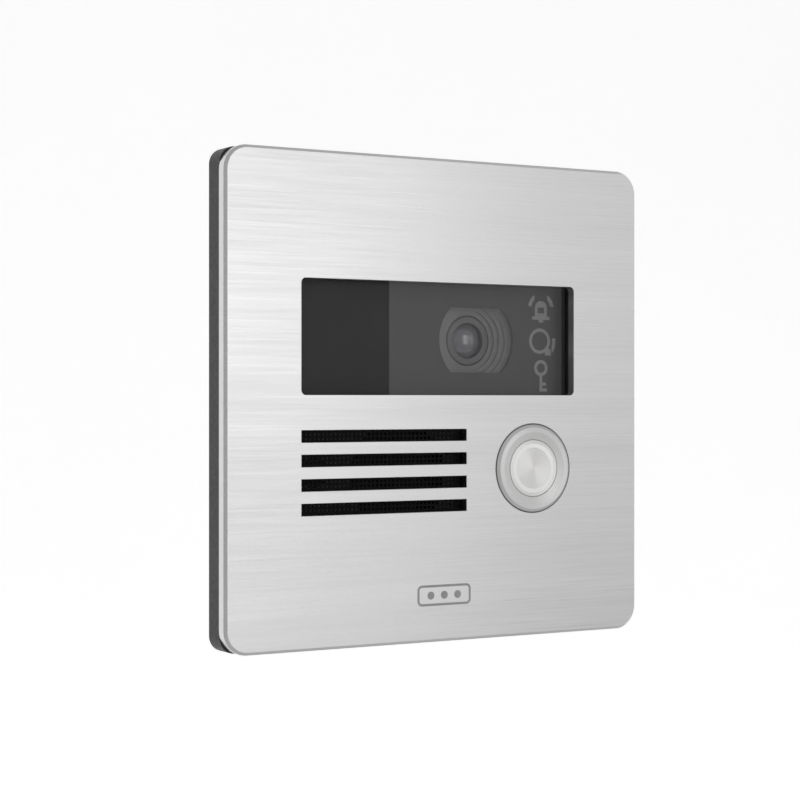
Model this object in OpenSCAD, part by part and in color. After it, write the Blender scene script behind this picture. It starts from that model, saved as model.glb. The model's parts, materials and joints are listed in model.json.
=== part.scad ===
// Flush door intercom panel: a square brushed steel face with a camera window, four speaker slots and a
// round call button, on a black mounting frame. A sealed electronics housing goes into the wall box.
// X is to the right as a visitor sees it, Y goes into the wall and Z is up. The origin is the middle of the
// wall plane, where the frame's back face meets the wall.

/* [Panel] */
// Width of the steel face
panel_w = 120; // [118:1:124]
// Height of the steel face
panel_h = 120; // [118:1:124]
// Depth of the panel in front of the wall
panel_d = 9.2; // [9:0.1:10]
// Corner radius of the face
corner_r = 6; // [4:0.5:8]
// Corner radius of the black frame behind the face, which shows past the face's rounder corners
frame_r = 3.8; // [3.6:0.2:6]
// Bevel round the front edge of the face
edge_bevel = 0.7; // [0.4:0.1:0.9]
// Thickness of the steel face
cover_t = 2.4; // [2.2:0.1:2.6]
// Depth of the steel rim
rim_d = 3.1; // [3:0.1:3.4]

/* [Camera window] */
// Width of the window opening
window_w = 79.6; // [76:0.1:80]
// Height of the window opening
window_h = 28; // [26:0.5:28]
// Height of the window's centre above the panel's centre
window_z = 15.2; // [15:0.1:15.5]
// Corner radius of the window opening
window_r = 1.2; // [0.8:0.1:2]
// Sideways place of the lens
lens_x = 13.8; // [12.5:0.1:14]
// Sideways place of the line between the infrared panel and the camera mask
mask_split_x = -12; // [-14:0.1:-11.5]

/* [Speaker slots] */
// Number of slots
slot_count = 4; // [3:1:4]
// Length of each slot
slot_w = 46.7; // [44:0.1:47]
// Height of each slot
slot_h = 3; // [2.5:0.1:3.2]
// Distance from one slot to the next
slot_pitch = 5.85; // [5.5:0.05:5.9]
// Sideways place of the slots' left ends
slot_left = -39.8; // [-40:0.1:-38]
// Height of the first slot's centre
slot_first_z = -8.7; // [-9:0.1:-8.5]

/* [Call button] */
// Sideways place of the button
button_x = 27; // [26.5:0.1:27.5]
// Height of the button's centre
button_z = -17.4; // [-18:0.1:-17]
// Radius of the button's bezel
bezel_r = 11.1; // [11:0.1:11.3]
// How far the bezel stands out of the face
bezel_rise = 0.7; // [0.6:0.05:0.9]
// How far the button travels when it is pressed
button_travel = 1.2; // [0.8:0.1:1.3]

/* [Housing] */
// Width of the rear housing
tub_w = 90; // [90:1:92]
// Height of the rear housing
tub_h = 92; // [92:1:96]
// Depth of the rear housing behind the wall plane
tub_d = 30; // [30:0.5:32]
// Wall thickness of the rear housing
tub_wall = 2.4; // [2:0.1:2.6]

/* [Fixings] */
// Distance between the wall screw holes, both ways
wall_pitch = 100; // [98:1:102]
// Radius of the wall screw holes
wall_hole_r = 2.25; // [2:0.05:2.3]

/* [Hidden] */
$fn = 64;
eps = 0.01;

front_y = -panel_d;
frame_y = front_y + rim_d;
inner_y = front_y + cover_t;
tub_in_y = tub_d - tub_wall;
tub_r = 6;
tub_rim_y = -0.6;

// The black frame behind the steel face
frame_w = panel_w - 0.6;
frame_h = panel_h - 0.6;
rim_t = 2.3;
plateau_in = 2 * (rim_t + 0.2);
gasket_w = 3;
gasket_d = 1.2;
gasket_out = panel_w - 5;
screw_head_r = 4.6;
screw_floor_y = -3;

// Window stack, from the steel face inwards: the frame's lip, seal, glass, mask and bracket
lip_w = window_w + 0.8;
lip_h = window_h + 0.8;
lip_back_y = inner_y + 1.6;
seal_t = 0.4;
glass_w = 82.6;
glass_h = 32.4;
glass_y = lip_back_y + seal_t;
glass_back_y = glass_y + 1.6;
seat_gap = 0.2;
mask_y = glass_back_y + 0.1;
mask_back_y = mask_y + 1.2;
icon_d = 0.6;
bracket_t = 1.4;
bracket_holes = [[-12, 34.4], [12, 34.4], [-34, -4.5], [13, -4.5]];
led_board_y = bracket_t;
led_board_t = 1.2;
led_board_w = 80;
led_board_h = 28;
led_back_y = led_board_y + led_board_t;
led_xs = [-32, -19.5];
led_zs = [window_z - 6.5, window_z + 6.5];
led_flange_r = 2.9;
led_dome_r = 2.4;
led_flange_y = -0.4;
led_dome_y = -1.4;
lens_gap_r = 9.6;

// Camera
mask_hole_r = 11.2;
mask_hole_h = 16.4;
baffle_steps = 5;
baffle_out_r = 12.3;
baffle_gap = 0.12;
baffle_back_y = 2;
lens_ring_r = 6.4;
lens_r = 4.6;
lens_front_y = 1.2;
dome_r = 7;
dome_apex_y = 0.9;
lens_back_y = 4.2;
holder_y = 7;
sensor_board_y = 12.4;
sensor_board_t = 1.2;

// Status pictograms
icon_x = 33.7;
icon_line = 0.85;
arc_line = 1;
bell_z = 23.8;
speech_z = 15.3;
key_z = 6.2;
guide_x = icon_x + 0.5;
guide_z = window_z - 0.4;
guide_w = 11;
guide_h = 25.6;

// Speaker and microphone
grille_x = slot_left + slot_w / 2;
grille_z = slot_first_z - 1.5 * slot_pitch;
grille_h = 24;
speaker_x = -11;
speaker_z = -18.5;
speaker_r = 16.1;
throat_r = 13.5;
mic_x = -34.5;
mic_z = -17.5;
mic_boot_r = 3.6;

// Call button
sleeve_r = 9.5;
hole_gap = 0.1;
recess_r = bezel_r + 0.35;
recess_d = 0.7;
flange_y = front_y + 0.4;
bore_r = 7.33;
cap_r = 7.25;
cap_edge = 0.15;
cap_rim_y = -6.6;
spring_y = -8;
cap_y = front_y - bezel_rise + 0.35;
light_in_r = 5.2;
light_out_r = 6.3;
light_d = 0.9;
shelf_y = -2;
stem_r = 2.6;
stem_end_y = -2;

// Rating label
label_x = -8;
label_z = 22;
label_w = 46;
label_h = 26;
label_d = 0.3;

// Boards and connectors
board_y = 15.2;
board_t = 1.6;
board_back_y = board_y + board_t;
board_w = 76;
board_h = 82;
post_x = 26;
post_z = 37;
boss_x = 39.4;
boss_z = 40.2;
boss_r = 3.6;
// Chips on the board's two sides: x, z, width, height and thickness
near_chips = [[-14, 14, 14, 14, 1.4], [-14, -2, 9, 11, 1.2]];
far_chips = [
    [-8, 6, 12, 10, 1.2], [-20, -9, 8, 8, 1], [6, -9, 5, 5, 1.5], [31, 27, 7, 7, 3.5], [12, 10, 6, 5, 1.6]
];
coil_x = 17;
coil_z = 25;
coil_y = 20;
coil_end_y = 25;
capacitor_xs = [-24, -13, -2];
capacitor_z = 29.4;
capacitor_r = 4;
capacitor_end_y = 26.2;
jack_x = -22;
port_z = -27;
port_floor_y = 19;
jack_w = 16;
jack_h = 13.6;
terminal_xs = [1.5, 21.5];
terminal_w = 17.6;
terminal_h = 10;
terminal_poles = 5;
terminal_pitch = 3.5;
plug_y = 24.4;
reset_x = -33;
reset_z = -12;
tamper_x = 28;
tamper_z = 4;
tamper_rise = 4;
reset_r = 1.7;
tamper_r = 2.2;
tamper_collar_r = 3.6;
tamper_collar_y = 26.1;
tamper_switch_y = 19.6;

// Cover fixings: barbed hooks near the top edge, and lugs with screws at the bottom edge
hook_xs = [-30, 30];
hook_z = 49.5;
hook_w = 10;
hook_t = 4;
hook_end_y = -2.2;
barb_z = 52.2;
barb_t = 2.2;
barb_y = -4;
lug_xs = [-30, 30];
lug_z = -51.5;
lug_w = 8;
lug_t = 4;
lug_end_y = -1.7;
lug_y = -3.4;
lug_gap = 0.3;
seat_z = -57.7;
edge_screw_r = 1.2;
edge_head_r = 1.9;

// ---- helpers ----

// A flat outline, drawn in X and Z, made solid from depth y0 to depth y1
module slab(y0, y1) {
    translate([0, y1, 0]) rotate([90, 0, 0]) linear_extrude(y1 - y0) children();
}

// A rectangle with round corners, centred on x, z
module rrect(w, h, r, x = 0, z = 0) {
    translate([x, z]) {
        square([w - 2 * r, h], center = true);
        square([w, h - 2 * r], center = true);
        for (i = [-1, 1], j = [-1, 1]) translate([i * (w / 2 - r), j * (h / 2 - r)]) circle(r);
    }
}

// A round bar along Y, from y0 to y1
module rod(x, z, y0, y1, r) {
    translate([x, y1, z]) rotate([90, 0, 0]) cylinder(h = y1 - y0, r = r);
}

// A block between two depths, centred on x, z
module block(x, z, w, h, y0, y1) {
    translate([x - w / 2, y0, z - h / 2]) cube([w, y1 - y0, h]);
}

// A round shape about an axis along Y: its outline is a list of [radius, depth] points
module turned(x, z, outline) {
    translate([x, 0, z]) rotate([90, 0, 0]) rotate_extrude() polygon([for (p = outline) [p[0], -p[1]]]);
}

// A flat ring between two radii
module ring(x, z, r_in, r_out, y0, y1) {
    turned(x, z, [[r_in, y0], [r_out, y0], [r_out, y1], [r_in, y1]]);
}

module at_corners(x, z) {
    for (i = [-1, 1], j = [-1, 1]) translate([i * x, 0, j * z]) children();
}

// A tube that follows a list of points
function unit(v) = v / norm(v);
function heading(path, i) =
    unit(path[min(i + 1, len(path) - 1)] - path[max(i - 1, 0)]);
function side_of(t) = abs(t[2]) < 0.9 ? unit(cross(t, [0, 0, 1])) : unit(cross(t, [1, 0, 0]));
function tube_ring(path, i, r, sides) =
    let (t = heading(path, i), u = side_of(t), v = cross(t, u))
    [for (k = [0 : sides - 1]) path[i] + r * (cos(360 * k / sides) * u + sin(360 * k / sides) * v)];
module tube(path, r, sides = 8) {
    n = len(path);
    points = [for (i = [0 : n - 1]) each tube_ring(path, i, r, sides)];
    walls = [for (i = [0 : n - 2], k = [0 : sides - 1])
        [i * sides + k, i * sides + (k + 1) % sides, (i + 1) * sides + (k + 1) % sides, (i + 1) * sides + k]];
    ends = [[for (k = [sides - 1 : -1 : 0]) k], [for (k = [0 : sides - 1]) (n - 1) * sides + k]];
    polyhedron(points, concat(walls, ends));
}

// A smooth wire route from a to d that leaves and arrives along Y, with handles b and c
function route(a, b, c, d, steps) =
    let (a1 = a + [0, 0.3, 0], d1 = d - [0, 0.3, 0])
    concat([a], [for (i = [0 : steps]) let (t = i / steps, s = 1 - t)
        s * s * s * a1 + 3 * s * s * t * b + 3 * s * t * t * c + t * t * t * d1], [d]);

// A compression spring round an axis along Y
module coil(x, z, y0, y1, r, wire_r, turns) {
    steps = turns * 16;
    start = y0 + wire_r;
    rise = y1 - y0 - 2 * wire_r;
    tube([for (i = [0 : steps]) let (a = 360 * turns * i / steps)
        [x + r * cos(a), start + rise * i / steps, z + r * sin(a)]], wire_r);
}

// ---- steel face ----

// The face's outline with the bevel round its front edge: four cones and two bars
module bevelled_plate() {
    b = edge_bevel;
    half_w = panel_w / 2;
    half_h = panel_h / 2;
    back = front_y + b;
    slab(back, frame_y) rrect(panel_w, panel_h, corner_r);
    translate([-(half_w - corner_r), 0, 0]) rotate([90, 0, 90]) linear_extrude(panel_w - 2 * corner_r)
        polygon([[back, -half_h], [back, half_h], [front_y, half_h - b], [front_y, -half_h + b]]);
    translate([0, 0, -(half_h - corner_r)]) linear_extrude(panel_h - 2 * corner_r)
        polygon([[-half_w, back], [half_w, back], [half_w - b, front_y], [-half_w + b, front_y]]);
    at_corners(half_w - corner_r, half_h - corner_r)
        translate([0, back, 0]) rotate([90, 0, 0]) cylinder(h = b, r1 = corner_r, r2 = corner_r - b);
}

module slot_outlines(grow = 0) {
    for (i = [0 : slot_count - 1])
        translate([slot_left - grow, slot_first_z - i * slot_pitch - slot_h / 2 - grow])
            square([slot_w + 2 * grow, slot_h + 2 * grow]);
}

module front_cover() {
    color("lightgray") {
        difference() {
            bevelled_plate();
            slab(inner_y, frame_y + 1) rrect(panel_w - 2 * rim_t, panel_h - 2 * rim_t, corner_r - rim_t);
            slab(front_y - 1, inner_y + 1) rrect(window_w, window_h, window_r, 0, window_z);
            slab(front_y - 1, inner_y + 1) slot_outlines();
            rod(button_x, button_z, front_y - 1, inner_y + 1, sleeve_r + hole_gap);
            rod(button_x, button_z, front_y - 1, front_y + recess_d, recess_r);
        }
        for (x = hook_xs) {
            block(x, hook_z, hook_w, hook_t, inner_y - eps, hook_end_y);
            block(x, barb_z, hook_w, barb_t, barb_y, hook_end_y);
        }
        for (x = lug_xs) difference() {
            block(x, lug_z, lug_w, lug_t, inner_y - eps, lug_end_y);
            translate([x, lug_y, lug_z - lug_t]) cylinder(h = 2 * lug_t, r = edge_screw_r + 0.05);
        }
    }
}

// ---- black frame ----

module front_frame() {
    color([0.06, 0.06, 0.065]) difference() {
        union() {
            slab(frame_y, 0) rrect(frame_w, frame_h, frame_r);
            slab(inner_y, frame_y + eps) rrect(panel_w - plateau_in, panel_h - plateau_in, corner_r - rim_t);
            at_corners(post_x, post_z) rod(0, 0, -eps, board_y, 2.8);
        }
        // Window opening inside the lip, and the seat for the glass behind it
        slab(inner_y - 1, 1) rrect(lip_w, lip_h, window_r + 0.4, 0, window_z);
        slab(lip_back_y, 1) rrect(glass_w + 2 * seat_gap, glass_h + 2 * seat_gap, 2, 0, window_z);
        // Sound pocket behind the slots, the speaker's throat and seat, and the microphone's port
        slab(inner_y - 1, inner_y + 1.2)
            rrect(slot_w + 4.3, grille_h + 0.6, 2, grille_x, grille_z);
        rod(speaker_x, speaker_z, inner_y - 1, 1, throat_r);
        rod(speaker_x, speaker_z, -1.6, 1, speaker_r + 0.2);
        rod(mic_x, mic_z, inner_y - 1, 1, mic_boot_r);
        rod(button_x, button_z, inner_y - 1, 1, sleeve_r + hole_gap);
        // Wall screws
        at_corners(wall_pitch / 2, wall_pitch / 2) {
            rod(0, 0, inner_y - 1, 1, wall_hole_r);
            rod(0, 0, inner_y - 1, screw_floor_y, screw_head_r);
        }
        // Grooves for the wall gasket and for the housing's rim with its seal
        wall_gasket_shape(-gasket_d, 1);
        slab(tub_rim_y - 1, 1) difference() {
            rrect(tub_w + 0.4, tub_h + 0.4, tub_r + 0.2);
            rrect(tub_w - 2 * tub_wall - 0.4, tub_h - 2 * tub_wall - 0.4, tub_r - tub_wall - 0.2);
        }
        // Screw holes for the rear cover, the board posts and the camera bracket
        at_corners(boss_x, boss_z) rod(0, 0, -4.5, 1, 1.3);
        at_corners(post_x, post_z) rod(0, 0, 9, board_y + 1, 1.35);
        for (p = bracket_holes) rod(p[0], p[1], -4, 1, 0.85);
        // Pockets for the cover's hooks and lugs, and the holes of the two security screws
        for (x = hook_xs) {
            block(x, hook_z - lug_gap, hook_w + 2, hook_t + 2.6, inner_y - 1, hook_end_y + 0.4);
            block(x, barb_z + 0.8, hook_w + 2, barb_t - 0.2, barb_y - 0.4, hook_end_y + 0.4);
        }
        for (x = lug_xs) {
            block(x, lug_z, lug_w + 1.2, lug_t + 1.4, inner_y - 1, lug_end_y + lug_gap);
            translate([x, lug_y, -panel_h / 2 - 1]) {
                cylinder(h = 8, r = edge_screw_r + 0.1);
                cylinder(h = seat_z + panel_h / 2 + 1, r = edge_head_r + 0.2);
            }
        }
    }
}

module wall_gasket_shape(y0, y1) {
    slab(y0, y1) difference() {
        rrect(gasket_out, gasket_out, 6);
        rrect(gasket_out - 2 * gasket_w, gasket_out - 2 * gasket_w, 3);
    }
}

module wall_gasket() {
    color([0.03, 0.03, 0.03]) wall_gasket_shape(-gasket_d, 0);
}

module rear_seal() {
    color([0.5, 0.12, 0.08]) slab(tub_rim_y - 1, tub_rim_y) difference() {
        rrect(tub_w, tub_h, tub_r);
        rrect(tub_w - 2 * tub_wall, tub_h - 2 * tub_wall, tub_r - tub_wall);
    }
}

// ---- rear housing ----

module rear_cover() {
    groove_xs = [10, 18, 26];
    groove_z = -41;
    color([0.09, 0.09, 0.1]) difference() {
        union() {
            difference() {
                slab(tub_rim_y, tub_d) rrect(tub_w, tub_h, tub_r);
                slab(tub_rim_y - 1, tub_in_y)
                    rrect(tub_w - 2 * tub_wall, tub_h - 2 * tub_wall, tub_r - tub_wall);
            }
            at_corners(boss_x, boss_z) rod(0, 0, 0, tub_in_y + eps, boss_r);
        }
        at_corners(boss_x, boss_z) {
            rod(0, 0, -1, tub_d + 1, 1.7);
            rod(0, 0, tub_d - 2.4, tub_d + 1, 3.1);
        }
        // Cut-outs for the network jack and the two terminal plugs
        block(jack_x, port_z, jack_w + 0.6, jack_h + 0.6, tub_in_y - 1, tub_d + 1);
        for (x = terminal_xs) block(x, port_z, terminal_w + 0.8, terminal_h + 1.2, tub_in_y - 1, tub_d + 1);
        rod(reset_x, reset_z, tub_in_y - 1, tub_d + 1, reset_r + 0.6);
        rod(tamper_x, tamper_z, tub_in_y - 1, tub_d + 1, tamper_r + 0.08);
        // Shallow field for the rating label, and three grooves below the ports
        slab(tub_d - label_d, tub_d + 1) rrect(label_w, label_h, 2, label_x, label_z);
        for (x = groove_xs) block(x, groove_z, 5, 2, tub_d - 0.6, tub_d + 1);
    }
}

// ---- window stack ----

module window_seal() {
    color([0.04, 0.04, 0.04]) slab(lip_back_y, glass_y) difference() {
        rrect(glass_w, glass_h, 1.8, 0, window_z);
        rrect(lip_w + 0.6, lip_h + 0.6, window_r + 0.6, 0, window_z);
    }
}

module window_glass() {
    color([0.25, 0.25, 0.26, 0.5]) slab(glass_y, glass_back_y) rrect(glass_w, glass_h, 1.8, 0, window_z);
}

module lens_hole_outline() {
    translate([lens_x, window_z]) intersection() {
        circle(mask_hole_r);
        square([2 * mask_hole_r + 2, mask_hole_h], center = true);
    }
}

// Bell with two sound arcs, speech ring with a tail, and key
module ring_outline(r, line) {
    difference() {
        circle(r);
        circle(r - line);
    }
}

module bell_outline() {
    translate([icon_x, bell_z]) {
        difference() {
            union() {
                circle(1.9);
                translate([-1.9, -2.2]) square([3.8, 2.2]);
            }
            translate([-1, -1.3]) square([2, 1.5]);
        }
        translate([-2.7, -3]) square([5.4, 0.9]);
        translate([-0.7, -3.7]) square([1.4, 0.7 + eps]);
    }
}

module bell_arcs_outline() {
    for (side = [-1, 1]) translate([icon_x, bell_z]) intersection() {
        ring_outline(4, arc_line);
        translate([side * 3.2, 2]) square([2.4, 3], center = true);
    }
}

module speech_outline() {
    translate([icon_x - 0.4, speech_z]) {
        ring_outline(3.3, icon_line);
        translate([1.7, -3.7]) square([1.8, 1.7]);
    }
}

module speech_arcs_outline() {
    translate([icon_x - 0.4, speech_z]) intersection() {
        ring_outline(5, arc_line);
        translate([4.8, -1.1]) square([2, 3.8], center = true);
    }
}

module key_outline() {
    translate([icon_x, key_z]) {
        translate([0, 2.1]) ring_outline(2.1, icon_line);
        translate([-icon_line / 2, -4]) square([icon_line, 4.3]);
        translate([icon_line / 2 - eps, -4]) square([1.5, icon_line]);
        translate([icon_line / 2 - eps, -2.5]) square([1.2, icon_line]);
    }
}

module icon_outlines() {
    bell_outline();
    bell_arcs_outline();
    speech_outline();
    speech_arcs_outline();
    key_outline();
}

// The part of the sheet behind the glass between two sideways places
module mask_sheet(x0, x1) {
    intersection() {
        slab(mask_y, mask_back_y) rrect(glass_w, glass_h, 1.8, 0, window_z);
        block((x0 + x1) / 2, window_z, x1 - x0, glass_h + 1, mask_y - 1, mask_back_y + 1);
    }
}

module camera_mask() {
    color([0.22, 0.22, 0.22]) difference() {
        mask_sheet(mask_split_x + 0.05, glass_w);
        slab(mask_y - 1, mask_back_y + 1) lens_hole_outline();
        slab(mask_y - 1, mask_y + icon_d) icon_outlines();
    }
}

module ir_filter_panel() {
    color([0.07, 0.06, 0.07]) mask_sheet(-glass_w, mask_split_x - 0.05);
}

module status_icons() {
    color([0.9, 0.9, 0.88]) slab(mask_y, mask_y + icon_d) icon_outlines();
}

module light_guide() {
    color([0.85, 0.85, 0.83]) block(guide_x, guide_z, guide_w, guide_h, mask_back_y, 0.6);
}

// ---- camera bracket and light board ----

module camera_bracket() {
    wall = 1;
    led_gap_w = 24;
    led_gap_h = 23;
    color([0.08, 0.08, 0.08]) difference() {
        union() {
            slab(mask_back_y, bracket_t) difference() {
                rrect(glass_w, glass_h, 1.8, 0, window_z);
                rrect(glass_w - 2 * wall, glass_h - 2 * wall, 0.8, 0, window_z);
            }
            slab(0, bracket_t) rrect(glass_w, glass_h, 1.8, 0, window_z);
            for (p = bracket_holes)
                block(p[0], (p[1] + window_z) / 2, 7, abs(p[1] - window_z) + 4.4, 0, bracket_t);
        }
        rod(lens_x, window_z, -1, bracket_t + 1, lens_gap_r);
        block((led_xs[0] + led_xs[1]) / 2 + 0.25, window_z, led_gap_w, led_gap_h, -1, bracket_t + 1);
        block(guide_x, guide_z, guide_w + 0.4, guide_h + 0.4, -1, bracket_t + 1);
        for (p = bracket_holes) rod(p[0], p[1], -1, bracket_t + 1, 1);
    }
}

module led_board() {
    color([0.05, 0.22, 0.12]) slab(led_board_y, led_back_y) difference() {
        translate([-led_board_w / 2, window_z - led_board_h / 2]) square([led_board_w, led_board_h]);
        translate([lens_x, window_z]) circle(lens_gap_r + 0.2);
    }
}

module ir_leds() {
    color([0.2, 0.2, 0.28]) for (x = led_xs, z = led_zs) {
        rod(x, z, led_flange_y, led_board_y, led_flange_r);
        rod(x, z, led_dome_y, led_flange_y + eps, led_dome_r);
    }
}

module status_leds() {
    color([0.95, 0.95, 0.8]) for (z = [bell_z, speech_z, key_z]) block(icon_x, z, 3, 1.5, 0.7, led_board_y);
}

// ---- camera ----

// A funnel of round steps from the mask's hole down to the lens
module lens_baffle() {
    step_r = (mask_hole_r - lens_ring_r - baffle_gap) / (baffle_steps - 1);
    step_y = (baffle_back_y - mask_back_y) / baffle_steps;
    neck_r = 9.4;
    steps = [for (i = [baffle_steps - 1 : -1 : 0])
        let (r = mask_hole_r - i * step_r, y = mask_back_y + i * step_y) each [[r, y + step_y], [r, y]]];
    rear = [[baffle_out_r, mask_back_y], [baffle_out_r, 0], [neck_r, 0], [neck_r, baffle_back_y]];
    color([0.3, 0.3, 0.3]) intersection() {
        turned(lens_x, window_z, concat(steps, rear));
        block(lens_x, window_z, 30, mask_hole_h + 2.6, mask_back_y - 1, baffle_back_y + 1);
    }
}

module lens_front_element() {
    color([0.2, 0.22, 0.3, 0.6]) intersection() {
        translate([lens_x, dome_apex_y + dome_r, window_z]) sphere(r = dome_r, $fn = 96);
        rod(lens_x, window_z, dome_apex_y - 1, lens_back_y, lens_r);
    }
}

module lens_iris() {
    color([0.02, 0.02, 0.02]) ring(lens_x, window_z, 1.3, lens_r, lens_back_y, lens_back_y + 0.4);
}

module lens_rear_element() {
    color([0.2, 0.2, 0.3, 0.6]) rod(lens_x, window_z, lens_back_y + 0.4, lens_back_y + 2.6, 3);
}

module lens_barrel() {
    color([0.12, 0.12, 0.12]) turned(lens_x, window_z, [
        [lens_r, lens_front_y], [lens_ring_r - 0.4, lens_front_y], [lens_ring_r, lens_front_y + 0.4],
        [lens_ring_r, 3.4], [7.6, 3.4], [7.6, holder_y], [6, holder_y], [6, 10.4],
        [4.4, 10.4], [4.4, lens_back_y + 2.6], [3, lens_back_y + 2.6], [3, lens_back_y + 0.4],
        [lens_r, lens_back_y + 0.4]
    ]);
}

module lens_holder() {
    color([0.1, 0.1, 0.1]) difference() {
        union() {
            block(lens_x, window_z, 17, 17, holder_y, sensor_board_y);
            for (i = [-1, 1], j = [-1, 1]) {
                rod(lens_x + i * 9.2, window_z + j * 9.2, led_back_y, sensor_board_y, 1.5);
                block(lens_x + i * 8.4, window_z + j * 8.4, 2.4, 2.4, 9, sensor_board_y);
            }
        }
        rod(lens_x, window_z, holder_y - 1, 10.6, 6.05);
        block(lens_x, window_z, 10, 10, 10.5, sensor_board_y + 1);
    }
}

module image_sensor() {
    color([0.35, 0.3, 0.4]) block(lens_x, window_z, 7.4, 6.2, sensor_board_y - 1.1, sensor_board_y);
}

module sensor_board() {
    color([0.05, 0.22, 0.12])
        block(lens_x, window_z, 22, 22, sensor_board_y, sensor_board_y + sensor_board_t);
}

module board_connector() {
    color([0.75, 0.72, 0.62]) block(lens_x, window_z, 12, 4, sensor_board_y + sensor_board_t, board_y);
}

module led_ribbon() {
    color([0.75, 0.45, 0.15]) block(-33, 20, 8, 0.3, led_back_y, board_y);
}

// ---- speaker and microphone ----

module grille_mesh() {
    color([0.02, 0.02, 0.02]) slab(inner_y + 0.05, inner_y + 0.35)
        rrect(slot_w + 3.7, grille_h, 1.7, grille_x, grille_z);
}

module speaker_gasket() {
    color([0.1, 0.1, 0.1]) ring(speaker_x, speaker_z, 13.8, speaker_r, -1.6, -0.8);
}

module speaker_basket() {
    color([0.25, 0.25, 0.27]) difference() {
        turned(speaker_x, speaker_z, [
            [13.9, -0.8], [speaker_r, -0.8], [speaker_r, 0.6], [14.6, 0.6], [9.4, 5.4], [9.4, 6.3],
            [3, 6.3], [3, 5.4], [8.6, 5.4], [13.4, 0.9], [13.9, 0.6]
        ]);
        for (a = [0 : 90 : 270]) translate([speaker_x, 0, speaker_z]) rotate([0, a + 45, 0])
            translate([7, 2, -3]) cube([8, 2.6, 6]);
    }
}

module speaker_surround() {
    color([0.04, 0.04, 0.04]) turned(speaker_x, speaker_z, [
        [12, -0.2], [12.3, -0.75], [12.95, -1], [13.6, -0.75], [13.9, -0.2], [13.9, 0.1], [13.6, 0.1],
        [13.3, -0.35], [12.95, -0.5], [12.6, -0.35], [12.3, 0.1], [12, 0.1]
    ]);
}

module speaker_cone() {
    color([0.12, 0.12, 0.12]) turned(speaker_x, speaker_z, [
        [0, 0.9], [2.2, 1.3], [4, 2.6], [12, -0.2], [12, 0.1], [4.4, 3], [4.4, 5.3], [4, 5.3], [4, 3.2],
        [2, 1.7], [0, 1.3]
    ]);
}

module speaker_magnet() {
    color([0.4, 0.4, 0.42])
        turned(speaker_x, speaker_z, [[0, 6.3], [8.8, 6.3], [8.8, 10.6], [8, 11], [0, 11]]);
}

module speaker_leads() {
    color([0.6, 0.08, 0.06]) for (i = [0, 1]) {
        start = [-22.4 + 1.1 * i, 0.6, -28.9 - i];
        finish = [-24.8 + 1.8 * i, board_y, -33];
        tube(route(start, start + [-1, 5, -2], finish - [0, 6, 0], finish, 14), 0.5);
    }
}

module microphone_boot() {
    color([0.05, 0.05, 0.05]) difference() {
        rod(mic_x, mic_z, inner_y + 1.2, 0.8, mic_boot_r);
        rod(mic_x, mic_z, inner_y, 1, 1);
        rod(mic_x, mic_z, -1.9, 2, 2.4);
    }
}

module microphone() {
    color([0.7, 0.7, 0.7]) rod(mic_x, mic_z, -1.9, 0.6, 2.4);
}

// ---- call button ----

module button_housing() {
    face = front_y - bezel_rise;
    color([0.7, 0.7, 0.7]) turned(button_x, button_z, [
        [bore_r, face + 0.45], [9.2, face], [bezel_r - 0.7, face], [bezel_r, face + 0.6], [bezel_r, flange_y],
        [sleeve_r, flange_y], [sleeve_r, 6], [8, 6], [8, shelf_y + 1.2],
        [stem_r + 0.6, shelf_y + 1.2], [stem_r + 0.6, shelf_y], [bore_r, shelf_y]
    ]);
}

// Flat rubber seal under the flange, with a lip that fills the gap round it
module button_seal() {
    color([0.03, 0.03, 0.03]) turned(button_x, button_z, [
        [sleeve_r + hole_gap, flange_y], [bezel_r + 0.02, flange_y], [bezel_r + 0.02, front_y + 0.1],
        [recess_r - 0.02, front_y + 0.1], [recess_r - 0.02, front_y + recess_d],
        [sleeve_r + hole_gap, front_y + recess_d]
    ]);
}

module button_nut() {
    color([0.75, 0.72, 0.62]) difference() {
        translate([button_x, 3.2, button_z]) rotate([90, 0, 0]) cylinder(h = 3.2, r = 12.7, $fn = 6);
        rod(button_x, button_z, -1, 4, sleeve_r + 0.05);
    }
}

module button_cap() {
    color([0.78, 0.78, 0.78]) turned(button_x, button_z, [
        [0, cap_y], [light_in_r, cap_y], [light_in_r, cap_y + light_d], [light_out_r, cap_y + light_d],
        [light_out_r, cap_y], [cap_r - cap_edge, cap_y], [cap_r, cap_y + cap_edge], [cap_r, cap_rim_y],
        [6.2, cap_rim_y], [6.2, spring_y], [stem_r, spring_y], [stem_r, stem_end_y], [0, stem_end_y]
    ]);
}

module button_light_ring() {
    color([0.95, 0.95, 0.95]) ring(button_x, button_z, light_in_r, light_out_r, cap_y, cap_y + light_d);
}

module button_spring() {
    color([0.7, 0.7, 0.72]) coil(button_x, button_z, spring_y + 0.05, shelf_y - 0.05, 4.6, 0.35, 5);
}

module switch_plunger() {
    color([0.8, 0.2, 0.1]) rod(button_x, button_z, stem_end_y, 2.2, 1.2);
}

module button_switch() {
    color([0.08, 0.08, 0.09]) difference() {
        union() {
            rod(button_x, button_z, shelf_y + 1.4, 6, 7.7);
            rod(button_x, button_z, 6, 7.5, 9);
            block(button_x, button_z, 11, 9, 7.5 - eps, 12);
        }
        rod(button_x, button_z, -2, 2.2 + button_travel + 0.2, 1.35);
    }
}

module button_leads() {
    color([0.9, 0.75, 0.1]) for (i = [-1, 1]) {
        start = [button_x + 2.5 * i, 12, button_z];
        finish = [button_x + 1.2 * i - 6, board_y, button_z + 9];
        tube(route(start, start + [0, 2.2, 0], finish - [0, 2.2, 0], finish, 14), 0.5);
    }
}

// ---- main board ----

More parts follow.
